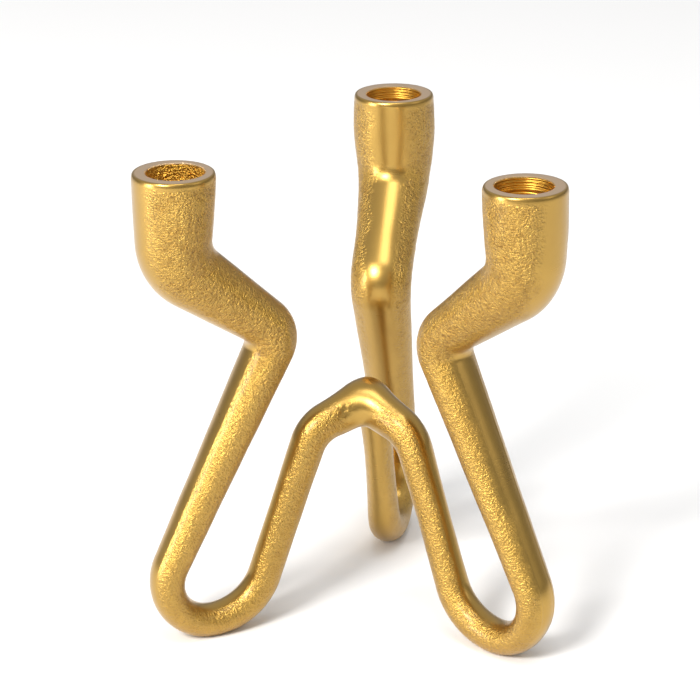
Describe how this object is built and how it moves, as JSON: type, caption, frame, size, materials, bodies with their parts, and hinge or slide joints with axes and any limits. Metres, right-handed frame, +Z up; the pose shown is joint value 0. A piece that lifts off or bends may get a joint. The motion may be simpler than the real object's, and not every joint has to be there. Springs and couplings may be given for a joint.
{
  "type": "tabletop candelabra",
  "caption": "Tabletop candle holder: cast looping arms meet at a raised welded hub, stand on rounded U-bend feet and end in upright cups bored for taper candles.",
  "frame": {"origin": "centre of the footprint box, on the surface that the feet stand on", "axes": "+Z up, along the candle sockets; +Y towards the rim of the back arm; +X to the right of the front pair of arms"},
  "size_m": [0.166, 0.1552, 0.1959],
  "materials": {
    "cast_gold": "antique gold over a fine sand-cast skin, with linished edges",
    "weld_gold": "antique gold over ground and polished weld metal"
  },
  "bodies": {
    "root": {"arm_left": "cast_gold", "arm_right": "cast_gold", "arm_back": "cast_gold", "weld_front": "weld_gold", "weld_back_right": "weld_gold", "weld_back_left": "weld_gold"}
  },
  "joints": []
}
